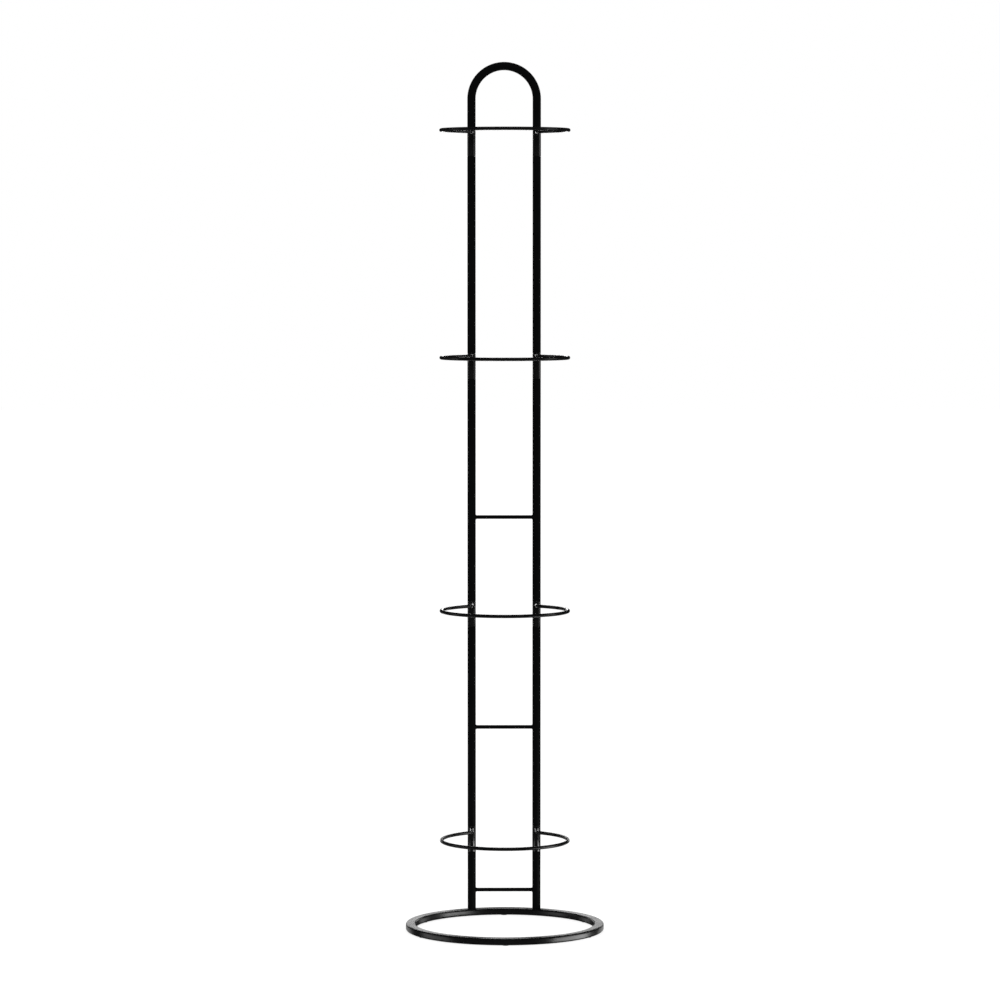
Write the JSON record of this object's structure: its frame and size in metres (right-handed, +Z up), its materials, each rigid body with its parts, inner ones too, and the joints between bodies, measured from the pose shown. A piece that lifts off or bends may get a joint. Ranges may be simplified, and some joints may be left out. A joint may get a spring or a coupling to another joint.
{
  "type": "tiered ring stand",
  "caption": "Tall free-standing black steel tube stand with level wire rings on legs in front of its uprights, an arched top and a ring-shaped base, for balls or other round things.",
  "frame": {"origin": "on the floor, at the centre of the base ring, which is also the axis of the wire rings", "axes": "+Z up; -Y to the front, where the wire rings are; the uprights stand at +Y, on the back of the base; +X to the right seen from the front"},
  "size_m": [0.3, 0.3, 1.3155],
  "materials": {
    "black_powder_coat": "satin black powder coat with a very fine orange peel",
    "smooth_black_coat": "the same black, a little smoother and glossier",
    "zinc_steel": "bright zinc-plated steel",
    "black_oxide_steel": "black oxide steel",
    "foot_rubber": "matt black rubber"
  },
  "bodies": {
    "root": {"base_ring": "black_powder_coat", "coupler_1_left": "smooth_black_coat", "coupler_1_right": "smooth_black_coat", "coupler_2_left": "smooth_black_coat", "coupler_2_right": "smooth_black_coat", "coupler_3_left": "smooth_black_coat", "coupler_3_right": "smooth_black_coat", "coupler_4_left": "smooth_black_coat", "coupler_4_right": "smooth_black_coat", "foot_insert_left": "zinc_steel", "foot_insert_right": "zinc_steel", "foot_pad_1": "foot_rubber", "foot_pad_2": "foot_rubber", "foot_pad_3": "foot_rubber", "foot_pad_4": "foot_rubber", "foot_pad_5": "foot_rubber", "foot_pad_6": "foot_rubber", "foot_rung": "black_powder_coat", "foot_screw_left": "black_oxide_steel", "foot_screw_right": "black_oxide_steel", "foot_tube_left": "black_powder_coat", "foot_tube_right": "black_powder_coat", "section_1_rung": "black_powder_coat", "section_1_tube_left": "black_powder_coat", "section_1_tube_right": "black_powder_coat", "section_2_rung": "black_powder_coat", "section_2_tube_left": "black_powder_coat", "section_2_tube_right": "black_powder_coat", "section_3_tube_left": "black_powder_coat", "section_3_tube_right": "black_powder_coat", "spigot_1_left": "black_oxide_steel", "spigot_1_right": "black_oxide_steel", "spigot_2_left": "black_oxide_steel", "spigot_2_right": "black_oxide_steel", "spigot_3_left": "black_oxide_steel", "spigot_3_right": "black_oxide_steel", "spigot_4_left": "black_oxide_steel", "spigot_4_right": "black_oxide_steel", "support_ring_1": "black_powder_coat", "support_ring_2": "black_powder_coat", "support_ring_3": "black_powder_coat", "support_ring_4": "black_powder_coat", "top_arch": "black_powder_coat"}
  },
  "joints": []
}
